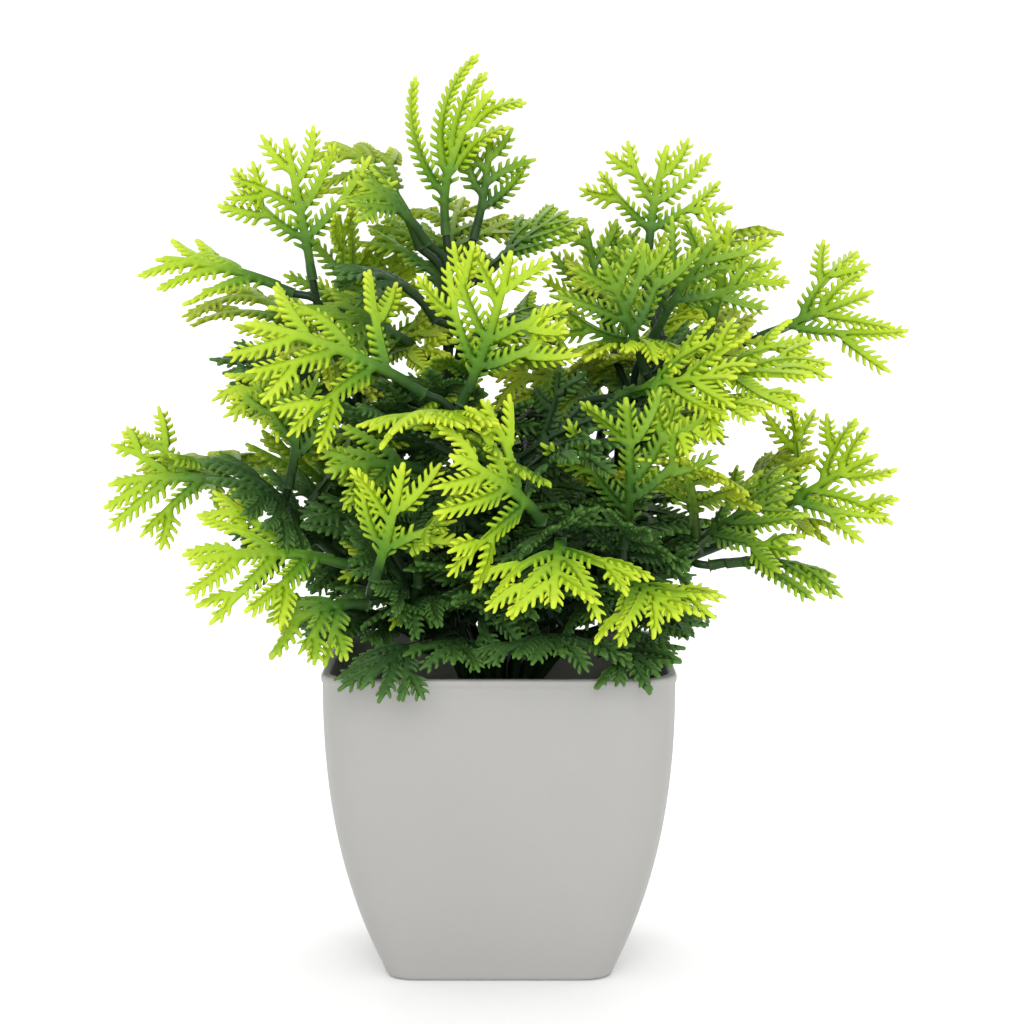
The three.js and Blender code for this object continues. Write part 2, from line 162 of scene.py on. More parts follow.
SKIRT_FRONDS = [
    (None, (-15, -27, 74), (-27, -48, 68), (0, -0.5, 0.9), 0.14, "spray", "dark"),
    (None, (11, -26, 75), (12, -50, 76), (0, -0.5, 0.9), 0.1, "fan", "dark"),
    (None, (22, -24, 73), (34, -42, 71), (0, -0.5, 0.9), 0.1, "spray", "dark"),
]

# The small inner fronds of each stem: from and to which share of its route, how many, and the share
# from which they get lighter, where their painted shade deep in the bush gives way.
INNER = {
    "top": (0.2, 0.9, 13, 0.8),
    "upper_left": (0.2, 0.96, 13, 0.75),
    "left": (0.2, 0.96, 10, 0.8),
    "front_left": (0.25, 0.96, 8, 1),
    "front": (0.2, 0.92, 12, 1),
    "right": (0.2, 0.96, 11, 0.85),
    "upper_right": (0.2, 0.96, 14, 0.75),
    "back_right": (0.2, 0.97, 13, 0.7),
    "back_left": (0.2, 0.97, 13, 0.7),
}
INNER_LENGTH = (24, 32)
# How far the root of an inner frond stays above the pot's rim.
INNER_CLEARANCE = 10
GOLDEN_ANGLE = 137.5

# Fronds beside the large ones, in the rows' own form, for the stem named.
EXTRA = {
    "upper_right": [
        (0.6, (26, -20, 128), (50, -34, 134), (0, -0.8, 0.6), 0.05, "fan", "bright"),
        (0.74, (34, -4, 140), (46, -10, 164), (0, -1, 0.2), 0.03, "fan", "mid"),
    ],
    "front": [
        (0.8, (-14, -30, 112), (-36, -40, 116), (0, -0.8, 0.6), 0.06, "spray", "mid"),
    ],
    "upper_left": [
        (0.7, (-38, -6, 129), (-59, -12, 128), (0, -0.7, 0.7), 0.08, "spray", "bright"),
    ],
    "back_right": [
        (0.9, (32, 40, 128), (54, 44, 144), (0.4, 0.9, 0.4), 0.05, "fan", "olive"),
        (0.7, (14, 40, 112), (-4, 60, 118), (0, 0.6, 0.8), 0.08, "fan", "bright"),
    ],
    "back_left": [
        (0.92, (-32, 40, 126), (-54, 42, 140), (-0.4, 0.9, 0.4), 0.05, "fan", "olive"),
        (0.66, (-36, 30, 106), (-62, 30, 108), (-0.3, 0.3, 0.9), 0.08, "fan", "mid"),
    ],
}

# Two tiers of further fronds round the crown, darkened as painted shade under the bush: the sides they
# stand on in degrees round from +X, then the radius and height of their roots and of their tips.
LOW_TIERS = [
    ((15, 48, 84, 122, 155, 182, 208, 254, 340), (21, 73), (45, 76)),
    ((0, 30, 66, 103, 138, 170, 225, 268, 296, 325), (18, 78), (39, 86)),
]

# Side fingers of each frond shape, from its root up: where they leave the rib, on which side, how far they
# reach (both as shares of the frond's length), the angle they leave at, and whether they fork.
SHAPES = {
    "fan": [
        (0.13, -1, 0.60, 52, True),
        (0.20, 1, 0.58, 50, True),
        (0.38, -1, 0.47, 46, False),
        (0.45, 1, 0.45, 44, True),
        (0.64, -1, 0.29, 40, False),
        (0.71, 1, 0.26, 38, False),
    ],
    "spray": [
        (0.16, -1, 0.46, 44, False),
        (0.26, 1, 0.46, 42, True),
        (0.43, -1, 0.38, 40, False),
        (0.54, 1, 0.34, 38, False),
        (0.70, -1, 0.24, 34, False),
    ],
    "open": [
        (0.12, 1, 0.80, 33, True),
        (0.20, -1, 0.74, 40, True),
        (0.43, 1, 0.50, 30, False),
        (0.50, -1, 0.44, 34, False),
    ],
    "plume": [
        (0.16, -1, 0.78, 50, False),
        (0.28, -1, 0.72, 30, False),
        (0.36, 1, 0.46, 14, False),
        (0.46, -1, 0.5, 22, False),
        (0.62, 1, 0.38, 12, False),
    ],
}

# How far the rib and all fingers of a swept shape turn to the right by their ends, and how far its
# fingers twist about themselves, in degrees.
SWEEPS = {"plume": 52}
SWEPT_ROLL = 62

# ---- fronds: a cage of quads grown along the rib and its fingers, then smoothed ----

# Sizes in mm and angles in degrees. By the end of a branch its teeth close up by TOOTH_CLOSING and are
# shorter by the share TOOTH_TAPER, and the branch is thinner by the share BRANCH_TAPER.
TOOTH_PITCH = 1.75
TOOTH_WIDTH = 1.12
TOOTH_LENGTH = 2.15
TOOTH_ANGLE = 62
TOOTH_CLOSING = 18
TOOTH_TAPER = 0.22
TOOTH_THICKNESS = 1.0
TOOTH_SAG = 0.3
FORK_WIDTH = 2.1
RIB_HALF_WIDTH = 1.05
RIB_THICKNESS = 2.0
FINGER_HALF_WIDTH = 0.82
FINGER_THICKNESS = 1.6
FINGER_ROLL = 48
BRANCH_TAPER = 0.28
SOCKET_LENGTH = 3.2
SOCKET_HALF_WIDTH = 1.3
SIDE_DROP = 0.6
RIB_TIP_TONE = 0.74

# A tooth grows in steps: share of its length, how much it narrows, its height and how much lighter it gets.
TOOTH_STEPS = ((0.5, 1.0, 1, 0.16), (0.38, 1.0, 0.95, 0.3), (0.12, 0.72, 0.7, 0.34))

# The round end of a branch: reach of each step in mm, and how much it narrows.
END_STEPS = ((1.0, 0.92), (0.7, 0.85), (0.25, 0.6))

# How far a finger's end leaves the plane, as a share of its length, for each colour.
CURLS = {"bright": -0.16, "mid": -0.1, "olive": -0.2, "dark": -0.08}


class Cage:
    """Vertices as (across, along, out of plane) with a tone from 0 at the root to 1 at the tips."""

    def __init__(self):
        self.verts = []
        self.tones = []
        self.faces = []

    def add(self, across, along, out, tone):
        self.verts.append((across, along, out))
        self.tones.append(tone)
        return len(self.verts) - 1

    def ring(self, centre, turn, half, thick, lift, tone, roll=0):
        """Four corners across a branch: left top, left bottom, right bottom, right top."""
        right = (math.cos(turn), -math.sin(turn))
        corners = []
        for side, level in ((-1, 1), (-1, -1), (1, -1), (1, 1)):
            flat = side * half * math.cos(roll) - level * thick / 2 * math.sin(roll)
            out = side * half * math.sin(roll) + level * thick / 2 * math.cos(roll)
            across = centre[0] + flat * right[0]
            along = centre[1] + flat * right[1]
            corners.append(self.add(across, along, lift + out, tone))
        return corners

    def join(self, a, b, sides=(0, 1, 2, 3)):
        for i in sides:
            j = (i + 1) % 4
            self.faces.append((a[i], a[j], b[j], b[i]))

    def close(self, quad):
        self.faces.append(tuple(quad))

    def extrude(self, quad, step, narrow, thick, tone):
        """A copy of the quad moved by step, narrowed about its middle, with its own thickness."""
        middle = [sum(self.verts[i][k] for i in quad) / 4 for k in range(3)]
        made = []
        for i in quad:
            across, along, out = self.verts[i]
            level = 1 if out > middle[2] else -1
            made.append(self.add(
                middle[0] + (across - middle[0]) * narrow + step[0],
                middle[1] + (along - middle[1]) * narrow + step[1],
                middle[2] + level * thick / 2 + step[2],
                tone,
            ))
        self.join(quad, made)
        return made

    def tooth(self, quad, turn, side, tilt, roll, length, tone):
        """A small round-ended tooth out of a side face, tilted away from the branch's own direction."""
        flat = side * math.sin(tilt) * math.cos(roll)
        reach = (
            math.cos(tilt) * math.sin(turn) + flat * math.cos(turn),
            math.cos(tilt) * math.cos(turn) - flat * math.sin(turn),
            side * math.sin(tilt) * math.sin(roll) - TOOTH_SAG,
        )
        end = quad
        for share, narrow, height, shade in TOOTH_STEPS:
            step = [part * length * share for part in reach]
            end = self.extrude(end, step, narrow, TOOTH_THICKNESS * height, tone + shade)
        self.close(end)


def grow(cage, ring, start, turn, branch, tone, lift):
    """Grows one branch from its first ring, with its teeth and its own side branches.

    branch holds length, angle (to its parent), bend (how far it turns by its end), curl (how far it leaves
    the plane), roll (how far it twists about itself by its end), half and thick at its start, teeth (their
    size), tip_tone, bare (length without teeth) and forks, a list of (at, side, branch).
    """
    length = branch["length"]
    forks = sorted(branch["forks"], key=lambda fork: fork[0])
    x, y = start
    done = 0.0
    fork_next = 0
    while done < length - 0.3:
        here = []
        if fork_next < len(forks) and done >= forks[fork_next][0] * length:
            first_step = FORK_WIDTH
            while fork_next < len(forks) and done >= forks[fork_next][0] * length - 0.8:
                here.append(forks[fork_next])
                fork_next += 1
        else:
            first_step = TOOTH_WIDTH
        toothed = not here and done >= branch["bare"]
        for step, carries in ((first_step, True), (TOOTH_PITCH - TOOTH_WIDTH, False)):
            done = min(done + step, length)
            share = done / length
            angle = turn + branch["bend"] * share
            x += math.sin(angle) * step
            y += math.cos(angle) * step
            roll = branch["roll"] * share
            taper = 1 - BRANCH_TAPER * share
            level = lift + branch["curl"] * length * share * share
            now = tone + (branch["tip_tone"] - tone) * share
            half, thick = branch["half"] * taper, branch["thick"] * taper
            after = cage.ring((x, y), angle, half, thick, level, now, roll)
            cage.join(ring, after, (1, 3))
            for side in (-1, 1):
                quad = side_face(ring, after, side)
                forked = [fork for fork in here if carries and fork[1] == side]
                if forked:
                    sprout(cage, quad, side, angle, forked[0][2], now)
                elif toothed and carries:
                    size = TOOTH_LENGTH * branch["teeth"] * (1 - TOOTH_TAPER * share)
                    tilt = math.radians(TOOTH_ANGLE - TOOTH_CLOSING * share)
                    cage.tooth(quad, angle, side, tilt, roll, size, now)
                else:
                    cage.close(quad)
            ring = after
            if done >= length:
                break
    for reach, narrow in END_STEPS:
        step = (math.sin(angle) * reach, math.cos(angle) * reach, branch["curl"] * reach)
        ring = cage.extrude(ring, step, narrow, TOOTH_THICKNESS * narrow, 1)
    cage.close(ring)


def side_face(before, after, side):
    """The left (-1) or right (+1) face between two rings: near top, near bottom, far bottom, far top."""
    if side < 0:
        return [before[0], before[1], after[1], after[0]]
    return [before[3], before[2], after[2], after[3]]


def sprout(cage, quad, side, angle, branch, tone):
    """Starts a side branch out of a side face of its parent."""
    turn = angle + side * branch["angle"]
    middle = [sum(cage.verts[i][k] for i in quad) / 4 for k in range(3)]
    first = (middle[0] + math.sin(turn) * 1.1, middle[1] + math.cos(turn) * 1.1)
    ring = cage.ring(first, turn, branch["half"], branch["thick"], middle[2], tone)
    base = quad if side < 0 else quad[::-1]
    cage.join(base, ring)
    grow(cage, ring, first, turn, branch, tone, middle[2])


def finger(length, angle, bend, rng, curl, forks=()):
    """A branch as grow() takes it, with angle and bend given in degrees."""
    return {
        "length": length,
        "angle": math.radians(angle),
        "bend": math.radians(bend),
        "curl": curl + rng.uniform(-0.2, 0.2),
        "half": FINGER_HALF_WIDTH,
        "thick": FINGER_THICKNESS,
        "teeth": rng.uniform(0.88, 1.08),
        "tip_tone": RIB_TIP_TONE,
        "bare": 0,
        "roll": math.radians(rng.uniform(-FINGER_ROLL, FINGER_ROLL)),
        "forks": list(forks),
    }


def frond_plan(length, shape, rng, curl):
    """The rib with its fingers. Some are left out, and some carry a smaller one on their outer side."""
    forks = []
    sweep = SWEEPS.get(shape, 0)
    mirror = 1 if sweep else rng.choice((-1, 1))
    left_out = rng.randrange(3 * len(SHAPES[shape]))
    for number, (at, hand, reach, angle, forking) in enumerate(SHAPES[shape]):
        if number == left_out and number > 1:
            continue
        side = hand * mirror
        own = reach * length * rng.uniform(0.85, 1.1)
        inward = rng.uniform(8, 30) if rng.random() < 0.7 else rng.uniform(-26, -6)
        bend = sweep * rng.uniform(0.7, 1.2) if sweep else -side * inward
        twigs = []
        if forking and own > 9:
            small = finger(own * rng.uniform(0.4, 0.52), 40, -side * 14, rng, curl)
            twigs.append((rng.uniform(0.3, 0.45), side, small))
        if own > 15 and not sweep and rng.random() < 0.6:
            small = finger(own * 0.3, 38, side * 10, rng, curl)
            twigs.append((rng.uniform(0.5, 0.6), -side, small))
        place = max(at + rng.uniform(-0.03, 0.03), SOCKET_LENGTH / length + 0.02)
        made = finger(own, angle + rng.uniform(-6, 6), bend, rng, curl, twigs)
        if sweep:
            made["roll"] = math.radians(SWEPT_ROLL)
        forks.append((place, side, made))
    rib = finger(length, 0, sweep + rng.uniform(-14, 14), rng, 0, forks)
    rib["curl"] = 0
    rib["roll"] = 0
    rib["half"] = RIB_HALF_WIDTH
    rib["thick"] = RIB_THICKNESS
    rib["bare"] = 0.1 * length
    return rib


def frond_cage(length, shape, rng, curl):
    """The socket that fits over the twig's end, and the rib that grows out of it."""
    cage = Cage()
    plan = frond_plan(length, shape, rng, curl)
    root = cage.ring((0, 0), 0, SOCKET_HALF_WIDTH, 2 * SOCKET_HALF_WIDTH, 0, 0)
    cage.close(root)
    collar = cage.ring((0, 0.3), 0, SOCKET_HALF_WIDTH, 2 * SOCKET_HALF_WIDTH, 0, 0)
    cage.join(root, collar)
    sleeve = cage.ring((0, SOCKET_LENGTH), 0, SOCKET_HALF_WIDTH * 0.92, 1.84 * SOCKET_HALF_WIDTH, 0, 0)
    cage.join(collar, sleeve)
    neck = cage.ring((0, SOCKET_LENGTH + 0.4), 0, plan["half"], plan["thick"], 0, 0)
    cage.join(sleeve, neck)
    plan["length"] = length - SOCKET_LENGTH - 2
    grow(cage, neck, (0, SOCKET_LENGTH + 0.4), 0, plan, 0, 0)
    return cage


def frond_piece(name, row, body, replaced=None):
    """One frond, laid from its root to its tip, bowed along its rib and with its sides hanging a little."""
    _, root, tip, faces, arch, shape, look = row
    rng = random.Random(name)
    root = Vector(root)
    rib = Vector(tip) - root
    length = rib.length
    rib.normalize()
    side = rib.cross(Vector(faces)).normalized()
    up = side.cross(rib)
    cage = frond_cage(length, shape, rng, CURLS[look])
    points = []
    for across, along, out in cage.verts:
        share = along / length
        bow = 4 * arch * length * share * (1 - share)
        drop = SIDE_DROP * arch * across * across / (length / 2)
        slope = 4 * arch * (1 - 2 * share)
        normal = (up - rib * slope).normalized()
        points.append((root + rib * along + side * across + up * (bow - drop) + normal * out) * MM)
    piece = mesh_piece(name, points, cage.faces, MATERIALS["foliage_" + look])
    tone = piece.data.attributes.new("tone", "FLOAT", "POINT")
    tone.data.foreach_set("value", cage.tones)
    smooth(piece, 1)
    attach(piece, body)
    if replaced:
        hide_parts(replaced)


# ---- mesh helpers ----


def mesh_piece(name, points, faces, material):
    mesh = bpy.data.meshes.new(name)
    mesh.from_pydata([tuple(p) for p in points], [], faces)
    mesh.materials.append(material)
    mesh.shade_smooth()
    piece = bpy.data.objects.new(name, mesh)
    bpy.context.scene.collection.objects.link(piece)
    return piece


def smooth(piece, levels):
    modifier = piece.modifiers.new("smooth", "SUBSURF")
    modifier.levels = levels
    modifier.render_levels = levels


def square_point(turn, half, squareness):
    """A point on a ring that goes from a circle (0) to a square with round corners (1)."""
    circle = Vector((math.cos(turn), math.sin(turn)))
    flat = 1 - CORNER_SHARE
    reach = max(abs(circle.x), abs(circle.y))
    box = circle / reach
    corner = Vector((math.copysign(flat, box.x), math.copysign(flat, box.y)))
    away = Vector((box.x - corner.x, box.y - corner.y))
    if abs(box.x) > flat and abs(box.y) > flat:
        box = corner + away.normalized() * CORNER_SHARE
    return (circle * (1 - squareness) + box * squareness) * half


def ring_loft(rings, sides):
    """Closed surface through rings of (z, half width, squareness), from one end cap to the other."""
    points = []
    for z, half, squareness in rings:
        for i in range(sides):
            turn = 2 * math.pi * (i + 0.5) / sides
            flat = square_point(turn, half, squareness)
            points.append(Vector((flat.x, flat.y, z)))
    faces = []
    for k in range(len(rings) - 1):
        for i in range(sides):
            j = (i + 1) % sides
            faces.append((k * sides + i, k * sides + j, (k + 1) * sides + j, (k + 1) * sides + i))
    faces.append(tuple(range(sides))[::-1])
    last = (len(rings) - 1) * sides
    faces.append(tuple(range(last, last + sides)))
    return points, faces


# ---- materials ----


def shader(name, roughness, specular=0.5):
    material = bpy.data.materials.new(name)
    material.use_nodes = True
    nodes = material.node_tree.nodes
    principled = nodes["Principled BSDF"]
    principled.inputs["Roughness"].default_value = roughness
    principled.inputs["Specular IOR Level"].default_value = specular
    return material, nodes, material.node_tree.links, principled


def noise_node(nodes, links, scale, detail):
    place = nodes.new("ShaderNodeTexCoord")
    made = nodes.new("ShaderNodeTexNoise")
    made.inputs["Scale"].default_value = scale
    made.inputs["Detail"].default_value = detail
    links.new(place.outputs["Object"], made.inputs["Vector"])
    return made


def bump(nodes, links, principled, height, strength, distance):
    made = nodes.new("ShaderNodeBump")
    made.inputs["Strength"].default_value = strength
    made.inputs["Distance"].default_value = distance
    links.new(height, made.inputs["Height"])
    links.new(made.outputs["Normal"], principled.inputs["Normal"])


def ramp(nodes, stops):
    made = nodes.new("ShaderNodeValToRGB")
    elements = made.color_ramp.elements
    while len(elements) < len(stops):
        elements.new(0.5)
    for element, (place, colour) in zip(elements, stops):
        element.position = place
        element.color = (*colour, 1)
    return made


def foliage(name, stops):
    """Soft moulded plastic that goes from its root colour to its tip colour along each frond: partly the
    plastic's own lighter tips, partly painted shade on the roots deep in the bush.
    """
    material, nodes, links, principled = shader(name, 0.45, 0.24)
    tone = nodes.new("ShaderNodeAttribute")
    tone.attribute_name = "tone"
    mottle = noise_node(nodes, links, 160, 3)
    shift = nodes.new("ShaderNodeMath")
    shift.operation = "MULTIPLY_ADD"
    shift.inputs[1].default_value = 0.3
    links.new(mottle.outputs["Fac"], shift.inputs[0])
    links.new(tone.outputs["Fac"], shift.inputs[2])
    centre = nodes.new("ShaderNodeMath")
    centre.operation = "SUBTRACT"
    centre.inputs[1].default_value = 0.15
    links.new(shift.outputs[0], centre.inputs[0])
    # Near black at the root: painted shade deep in the bush, on top of the plastic's own lighter tips.
    colour = ramp(nodes, stops)
    links.new(centre.outputs[0], colour.inputs["Fac"])
    links.new(colour.outputs["Color"], principled.inputs["Base Color"])
    principled.inputs["Subsurface Weight"].default_value = 0.12
    principled.inputs["Subsurface Radius"].default_value = (0.6, 1.0, 0.3)
    principled.inputs["Subsurface Scale"].default_value = 0.0012
    fine = noise_node(nodes, links, 900, 2)
    bump(nodes, links, principled, fine.outputs["Fac"], 0.25, 0.0003)
    return material


def pot_plastic():
    material, nodes, links, principled = shader("pot_plastic", 0.38)
    mottle = noise_node(nodes, links, 18, 4)
    colour = ramp(nodes, [(0.3, (0.312, 0.307, 0.295)), (0.7, (0.330, 0.325, 0.312))])
    links.new(mottle.outputs["Fac"], colour.inputs["Fac"])
    links.new(colour.outputs["Color"], principled.inputs["Base Color"])
    grain = noise_node(nodes, links, 1400, 2)
    bump(nodes, links, principled, grain.outputs["Fac"], 0.12, 0.0002)
    return material


def cast_filler():
    material, nodes, links, principled = shader("cast_filler", 0.95)
    mottle = noise_node(nodes, links, 220, 6)
    colour = ramp(nodes, [(0.35, (0.05, 0.04, 0.028)), (0.7, (0.19, 0.155, 0.11))])
    links.new(mottle.outputs["Fac"], colour.inputs["Fac"])
    links.new(colour.outputs["Color"], principled.inputs["Base Color"])
    bump(nodes, links, principled, mottle.outputs["Fac"], 0.9, 0.001)
    return material


def stem_plastic():
    material, nodes, links, principled = shader("stem_plastic", 0.36, 0.22)
    mottle = noise_node(nodes, links, 90, 3)
    colour = ramp(nodes, [(0.3, (0.006, 0.018, 0.006)), (0.75, (0.015, 0.040, 0.010))])
    links.new(mottle.outputs["Fac"], colour.inputs["Fac"])
    links.new(colour.outputs["Color"], principled.inputs["Base Color"])
    bump(nodes, links, principled, mottle.outputs["Fac"], 0.3, 0.0004)
    return material


MATERIALS = {
    "pot": pot_plastic(),
    "filler": cast_filler(),
    "stem": stem_plastic(),
    # The first green is a darker copy of the others: painted shade on the fronds inside and under the bush.
    "foliage_dark": foliage("foliage_dark", [
        (0, (0.009, 0.028, 0.007)), (0.5, (0.020, 0.060, 0.013)), (1, (0.065, 0.155, 0.024))]),
    "foliage_mid": foliage("foliage_mid", [
        (0, (0.014, 0.042, 0.008)), (0.35, (0.048, 0.135, 0.011)), (0.7, (0.17, 0.31, 0.012)),
        (1, (0.33, 0.46, 0.024))]),
    "foliage_bright": foliage("foliage_bright", [
        (0, (0.022, 0.070, 0.009)), (0.25, (0.090, 0.22, 0.010)), (0.6, (0.30, 0.46, 0.012)),
        (1, (0.49, 0.60, 0.030))]),
    "foliage_olive": foliage("foliage_olive", [
        (0, (0.020, 0.050, 0.006)), (0.35, (0.105, 0.205, 0.009)), (0.7, (0.27, 0.37, 0.012)),
        (1, (0.42, 0.50, 0.028))]),
}

# ---- pot, filler, crown ----


def half_width_at(z):
    rise = min(max(z / (POT_HEIGHT - RIM_HEIGHT), 0), 1)
    return BASE_HALF_WIDTH + (WALL_TOP_HALF_WIDTH - BASE_HALF_WIDTH) * (1 - (1 - rise) ** SIDE_CURVE)


def rounded_edge(z, half, radius, start, stop, steps=5):
    """Points of a rounded edge about (half, z) between two angles, as rings of full squareness."""
    made = []
    for i in range(steps + 1):
        turn = math.radians(start + (stop - start) * i / steps)
        made.append((z + radius * math.sin(turn), half + radius * math.cos(turn), 1))
    return made


def make_pot():
    """The shell: foot, bellied side, rim band and lip, then the inner wall down to the floor."""
    rim_low = POT_HEIGHT - RIM_HEIGHT
    side_steps = 26
    foot = 1.4
    rings = [(0.0, 4, 1), (0.0, BASE_HALF_WIDTH - 3, 1)]
    rings += rounded_edge(foot, half_width_at(foot) - foot, foot, -90, -15)
    low = rings[-1][0] + 0.6
    for i in range(side_steps + 1):
        z = low + (rim_low - 0.25 - low) * i / side_steps
        rings.append((z, half_width_at(z), 1))
    rings += [(rim_low, WALL_TOP_HALF_WIDTH + 0.03, 1), (rim_low + 0.25, RIM_HALF_WIDTH - 0.08, 1)]
    rings += [(rim_low + 0.55, RIM_HALF_WIDTH, 1)]
    rings += rounded_edge(POT_HEIGHT - 0.7, RIM_HALF_WIDTH - 0.7, 0.7, 0, 90)
    inner = WALL_TOP_HALF_WIDTH - WALL
    rings += rounded_edge(POT_HEIGHT - 0.5, inner + 0.5, 0.5, 90, 180)
    for i in range(15):
        z = rim_low - (rim_low - FLOOR - 2) * i / 14
        rings.append((z, half_width_at(z) - WALL, 1))
    floor_edge = half_width_at(FLOOR) - WALL
    rings += [(FLOOR + 0.5, floor_edge - 1, 1), (FLOOR, floor_edge - 2.5, 1), (FLOOR, 4, 1)]
    points, faces = ring_loft(rings, 96)
    piece = mesh_piece("pot_shell", [p * MM for p in points], faces, MATERIALS["pot"])
    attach(piece, "root")
    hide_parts("pot")


def make_filler():
    """The cast block in the pot, with a lumpy top and a bore for the crown's shank."""
    bore = CROWN_SHANK_RADIUS + GAP
    edge = half_width_at(FILLER_TOP) - WALL - GAP
    rings = [(CROWN_BOTTOM - GAP, 1, 0), (CROWN_BOTTOM - GAP, bore, 0), (FILLER_TOP - 1, bore, 0)]
    steps = 22
    for i in range(steps + 1):
        share = i / steps
        rings.append((FILLER_TOP, bore + 0.4 + (edge - bore - 1.2) * share, share ** 2))
    for i in range(9):
        z = FILLER_TOP - 1 - (FILLER_TOP - FLOOR - 4) * i / 8
        rings.append((z, half_width_at(z) - WALL - GAP, 1))
    rings += [(FLOOR + GAP, half_width_at(FLOOR) - WALL - 3.2, 1), (FLOOR + GAP, 2, 1)]
    points, faces = ring_loft(rings, 96)
    for p in points:
        if p.z > FILLER_TOP - 0.5:
            lumps = noise.noise(p * 0.22) * 1.6 + noise.noise(p * 0.9) * 0.7
            p.z += lumps - 1
    faces = [f[::-1] for f in faces]
    piece = mesh_piece("filler_casting", [p * MM for p in points], faces, MATERIALS["filler"])
    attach(piece, "root")
    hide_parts("filler_block")


# ---- stems ----


def spline(points, count):
    """Centripetal Catmull-Rom curve through the points, as count + 1 evenly spaced points."""
    points = [Vector(p) for p in points]
    points = [2 * points[0] - points[1], *points, 2 * points[-1] - points[-2]]
    fine = []
    for k in range(1, len(points) - 2):
        p0, p1, p2, p3 = points[k - 1:k + 3]
        t1 = (p1 - p0).length ** 0.5
        t2 = t1 + (p2 - p1).length ** 0.5
        t3 = t2 + (p3 - p2).length ** 0.5
        for i in range(24):
            t = t1 + (t2 - t1) * i / 24
            a1 = p0 * ((t1 - t) / t1) + p1 * (t / t1)
            a2 = p1 * ((t2 - t) / (t2 - t1)) + p2 * ((t - t1) / (t2 - t1))
            a3 = p2 * ((t3 - t) / (t3 - t2)) + p3 * ((t - t2) / (t3 - t2))
            b1 = a1 * ((t2 - t) / t2) + a2 * (t / t2)
            b2 = a2 * ((t3 - t) / (t3 - t1)) + a3 * ((t - t1) / (t3 - t1))
            fine.append(b1 * ((t2 - t) / (t2 - t1)) + b2 * ((t - t1) / (t2 - t1)))
    fine.append(points[-2])
    lengths = [0.0]
    for a, b in zip(fine, fine[1:]):
        lengths.append(lengths[-1] + (b - a).length)
    made = []
    k = 0
    for i in range(count + 1):
        want = lengths[-1] * i / count
        while k < len(fine) - 2 and lengths[k + 1] < want:
            k += 1
        share = (want - lengths[k]) / (lengths[k + 1] - lengths[k])
        made.append(fine[k].lerp(fine[k + 1], min(share, 1)))
    return made


def tube(points, radii, sides, first_index):
    """Closed tube; its frames turn as little as they can. Returns its points and faces."""
    made = []
    faces = []
    across = None
    for k, point in enumerate(points):
        ahead = points[min(k + 1, len(points) - 1)] - points[max(k - 1, 0)]
        ahead.normalize()
        if across is None:
            across = ahead.orthogonal().normalized()
        across = (across - ahead * across.dot(ahead)).normalized()
        other = ahead.cross(across)
        for i in range(sides):
            turn = 2 * math.pi * i / sides
            made.append(point + (across * math.cos(turn) + other * math.sin(turn)) * radii[k])
        if k:
            base = first_index + (k - 1) * sides
            for i in range(sides):
                j = (i + 1) % sides
                faces.append((base + i, base + j, base + sides + j, base + sides + i))
    faces.append(tuple(first_index + i for i in range(sides))[::-1])
    last = first_index + (len(points) - 1) * sides
    faces.append(tuple(last + i for i in range(sides)))
    return made, faces


def twig_points(start, root, tip):
    """A twig from the stem to the frond's root, on into its socket along the rib."""
    rib = (Vector(tip) - Vector(root)).normalized()
    end = Vector(root) + rib * 1.5
    reach = (Vector(root) - start).length
    near_end = Vector(root) - rib * (reach / 3)
    return spline([start, near_end, Vector(root), end], TWIG_STEPS)


def twig_radii(count):
    return [TWIG_RADIUS * (1.35 - 0.35 * min(i / 3, 1)) for i in range(count)]


def stem_route(name):
    side, route = STEMS[name]
    foot = Vector((0, 0, STEM_FOOT))
    if side is not None:
        turn = math.radians(side)
        foot = Vector((STEM_RING_RADIUS * math.cos(turn), STEM_RING_RADIUS * math.sin(turn), STEM_FOOT))
    return spline([foot, foot + Vector((0, 0, STEM_RISE)), *route], ROUTE_STEPS)


def inner_look(share, lighter_from, rng):
    """Darkened as painted shade in the middle of the bush, lighter towards the end of a stem."""
    if share > lighter_from:
        return rng.choice(("mid", "olive", "bright"))
    if share > lighter_from - 0.2:
        return rng.choice(("mid", "dark"))
    return "mid" if rng.random() < 0.1 else "dark"


def inner_rows(name):
    """The small fronds that fill the middle of the bush, spiralling up one stem."""
    low, high, count, lighter_from = INNER[name]
    route = stem_route(name)
    rng = random.Random("inner_" + name)
    rows = []
    for i in range(count):
        share = low + (high - low) * (i + 0.5) / count
        start = route[round(share * ROUTE_STEPS)]
        first = 90 * len(name)
        around = math.radians(GOLDEN_ANGLE * i + rng.uniform(-20, 20) + first)
        rise = math.radians(rng.uniform(5, 50))
        level = math.cos(rise)
        heading = Vector((math.cos(around) * level, math.sin(around) * level, math.sin(rise)))
        root = start + heading * rng.uniform(4, 6)
        root.z = max(root.z, POT_HEIGHT + INNER_CLEARANCE)
        tip = root + heading * rng.uniform(*INNER_LENGTH)
        front = -1 if heading.y < 0.3 else 1
        faces = (rng.uniform(-0.4, 0.4), front * rng.uniform(0.2, 0.8), 1)
        arch = rng.uniform(0.04, 0.12)
        look = inner_look(share, lighter_from, rng)
        rows.append((share, tuple(root), tuple(tip), faces, arch, "fan", look))
    return rows + EXTRA.get(name, [])


def make_stem(name, rows):
    """A stem and a twig for each of its fronds, moulded in one."""
    route = stem_route(name)
    radii = [STEM_RADIUS * (1.08 - 0.3 * i / ROUTE_STEPS) for i in range(ROUTE_STEPS + 1)]
    points, faces = tube(route, radii, 12, 0)
    for row in rows:
        start = route[round(min(row[0], 0.97) * ROUTE_STEPS)]
        line = twig_points(start, row[1], row[2])
        more, more_faces = tube(line, twig_radii(len(line)), 10, len(points))
        points += more
        faces += more_faces
    piece = mesh_piece("stem_" + name + "_moulding", [p * MM for p in points], faces, MATERIALS["stem"])
    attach(piece, name)
    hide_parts("stem_" + name)


